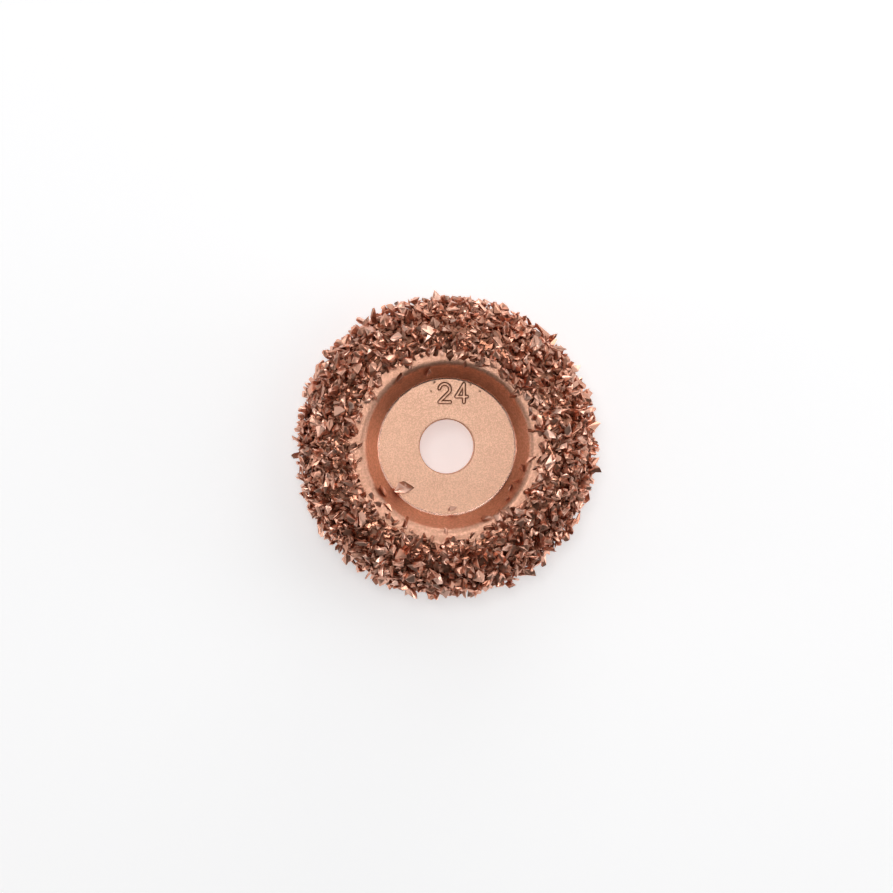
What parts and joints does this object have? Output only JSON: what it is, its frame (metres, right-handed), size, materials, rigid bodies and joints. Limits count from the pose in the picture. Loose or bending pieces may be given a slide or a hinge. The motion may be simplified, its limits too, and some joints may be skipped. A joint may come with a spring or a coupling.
{
  "type": "carbide grit carving disc",
  "caption": "Round-rimmed carving disc for an angle grinder: flat steel web with an arbor bore, and a full-round rim coated in coarse brazed carbide grit.",
  "frame": {"origin": "centre of the bore at the mid-plane of the web, which is the middle of the disc", "axes": "+Z along the bore axis, out of the stamped front face; +Y points from the bore to the stamped number"},
  "size_m": [0.0554, 0.0557, 0.0168],
  "materials": {
    "steel_core": "bead-blasted steel under a thin copper flash",
    "braze": "smooth copper braze",
    "carbide_grit": "angular carbide grains wetted with copper braze"
  },
  "bodies": {
    "root": {"back_braze_fillet": "braze", "back_grain_01": "carbide_grit", "back_grain_02": "carbide_grit", "back_grain_03": "carbide_grit", "back_grain_04": "carbide_grit", "back_grain_05": "carbide_grit", "back_grain_06": "carbide_grit", "back_grain_07": "carbide_grit", "back_grain_08": "carbide_grit", "back_grain_09": "carbide_grit", "back_grain_10": "carbide_grit", "back_grain_11": "carbide_grit", "back_grain_12": "carbide_grit", "back_grain_13": "carbide_grit", "back_grain_14": "carbide_grit", "front_braze_fillet": "braze", "front_grain_01": "carbide_grit", "front_grain_02": "carbide_grit", "front_grain_03": "carbide_grit", "front_grain_04": "carbide_grit", "front_grain_05": "carbide_grit", "front_grain_06": "carbide_grit", "front_grain_07": "carbide_grit", "front_grain_08": "carbide_grit", "front_grain_09": "carbide_grit", "front_grain_10": "carbide_grit", "front_grain_11": "carbide_grit", "front_grain_12": "carbide_grit", "front_grain_13": "carbide_grit", "front_grain_14": "carbide_grit", "front_grain_15": "carbide_grit", "front_grain_16": "carbide_grit", "front_grain_17": "carbide_grit", "grit_back_shoulder": "carbide_grit", "grit_front_shoulder": "carbide_grit", "grit_tread": "carbide_grit", "rim_ring": "steel_core", "web_disc": "steel_core", "web_grain_01": "carbide_grit", "web_grain_02": "carbide_grit"}
  },
  "joints": []
}
